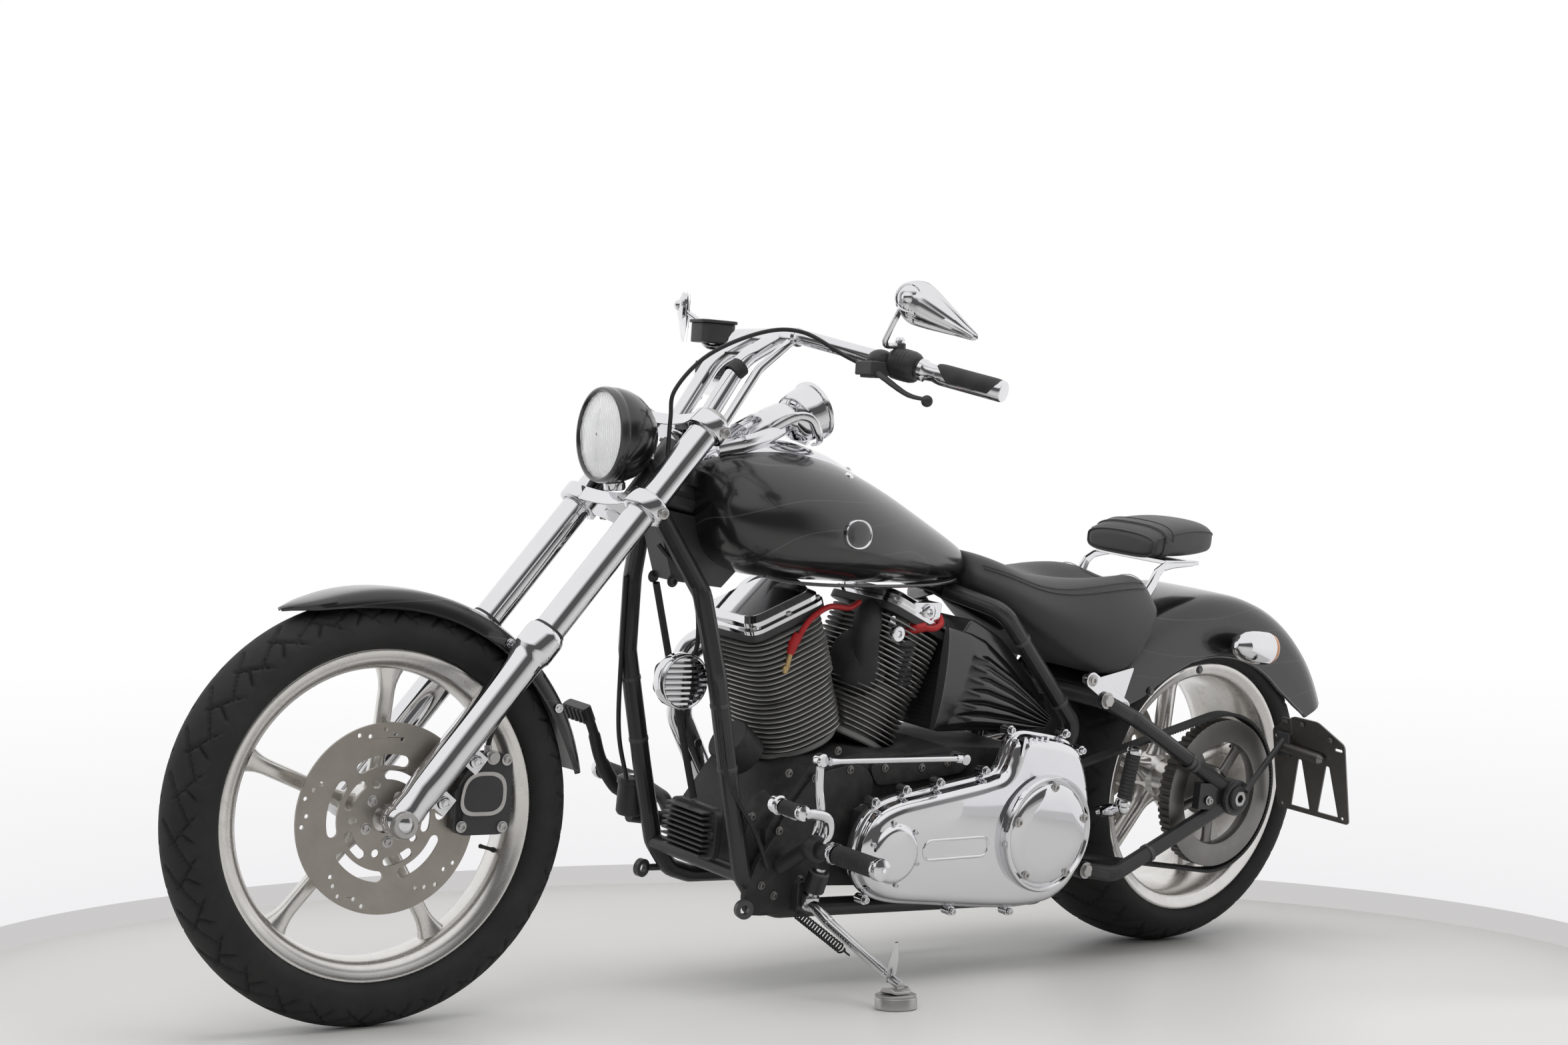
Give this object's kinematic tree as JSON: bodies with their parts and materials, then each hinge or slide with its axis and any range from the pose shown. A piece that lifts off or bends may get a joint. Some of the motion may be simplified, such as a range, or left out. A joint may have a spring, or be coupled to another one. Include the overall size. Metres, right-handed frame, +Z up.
{
  "type": "chopper motorcycle",
  "caption": "Long-wheelbase chopper motorcycle with V-twin engine, wide rear tyre and raked chrome fork, leaning on its side stand.",
  "frame": {"origin": "on the floor, below the middle of the leaning motorcycle's outline", "axes": "+X forward, +Y to the rider's left, +Z up"},
  "size_m": [2.4246, 0.9853, 1.2218],
  "materials": {
    "frame_black": "gloss powder coat",
    "engine_black": "satin wrinkle coat",
    "chrome": "polished plate",
    "gloss_black": "gloss",
    "paint_black": "satin black paint",
    "leather": "grained",
    "steel": "machined",
    "rubber": "matt",
    "tyre": "matt",
    "wheel_alloy": "polished and brushed",
    "disc_steel": "ground"
  },
  "bodies": {
    "frame": {"frame": "frame_black", "swingarm": "frame_black", "engine_case": "engine_black", "front_cylinder": "engine_black", "rear_cylinder": "engine_black", "rocker_boxes": "chrome", "primary_cover": "chrome", "derby_cover": "chrome", "air_cleaner": "chrome", "exhaust_pipes": "chrome", "oil_tank_cover": "gloss_black", "fuel_tank": "paint_black", "dash_console": "chrome", "speedometer": "chrome", "seat": "leather", "pillion_pad": "leather", "pillion_bracket": "chrome", "horn": "chrome", "regulator": "engine_black", "rear_fender": "paint_black", "rear_signals": "chrome", "plate_bracket": "frame_black", "rear_axle": "steel", "left_foot_control": "chrome", "right_foot_control": "frame_black", "passenger_pegs": "chrome", "drive_belt": "rubber", "rear_caliper": "frame_black", "stand_bracket": "frame_black", "stand_puck": "steel"},
    "steering": {"upper_clamp": "chrome", "lower_clamp": "chrome", "fork_tubes": "chrome", "fork_sliders": "chrome", "handlebar": "chrome", "grips": "rubber", "hand_controls": "frame_black", "mirrors": "chrome", "headlight": "gloss_black", "front_fender": "paint_black", "front_caliper": "frame_black", "front_axle": "steel", "clutch_cable": "rubber", "brake_hose": "rubber"},
    "front_wheel": {"front_tyre": "tyre", "front_rim": "wheel_alloy", "front_disc": "disc_steel"},
    "rear_wheel": {"rear_tyre": "tyre", "rear_rim": "wheel_alloy", "rear_pulley": "disc_steel", "rear_disc": "disc_steel"},
    "side_stand": {"side_stand": "steel", "stand_spring": "frame_black"}
  },
  "joints": [
    {"name": "steering_turn", "type": "hinge", "parent": "frame", "child": "steering", "pos_m": [0.8074, -0.08697, 0.32639], "axis": [-0.5948, 0.1313, 0.7931], "range_deg": [-22, 35]},
    {"name": "front_wheel_spin", "type": "hinge", "parent": "steering", "child": "front_wheel", "pos_m": [0.88565, -0.09434, 0.32734], "axis": [0.0945, 0.9912, -0.0932], "continuous": true},
    {"name": "rear_wheel_spin", "type": "hinge", "parent": "frame", "child": "rear_wheel", "pos_m": [-0.872, -0.08795, 0.32042], "axis": [0, 0.9866, -0.1633], "continuous": true},
    {"name": "side_stand_swing", "type": "hinge", "parent": "frame", "child": "side_stand", "pos_m": [0.134, 0.05447, 0.15212], "axis": [0, 0.433, 0.9014], "range_deg": [0, 70]}
  ]
}
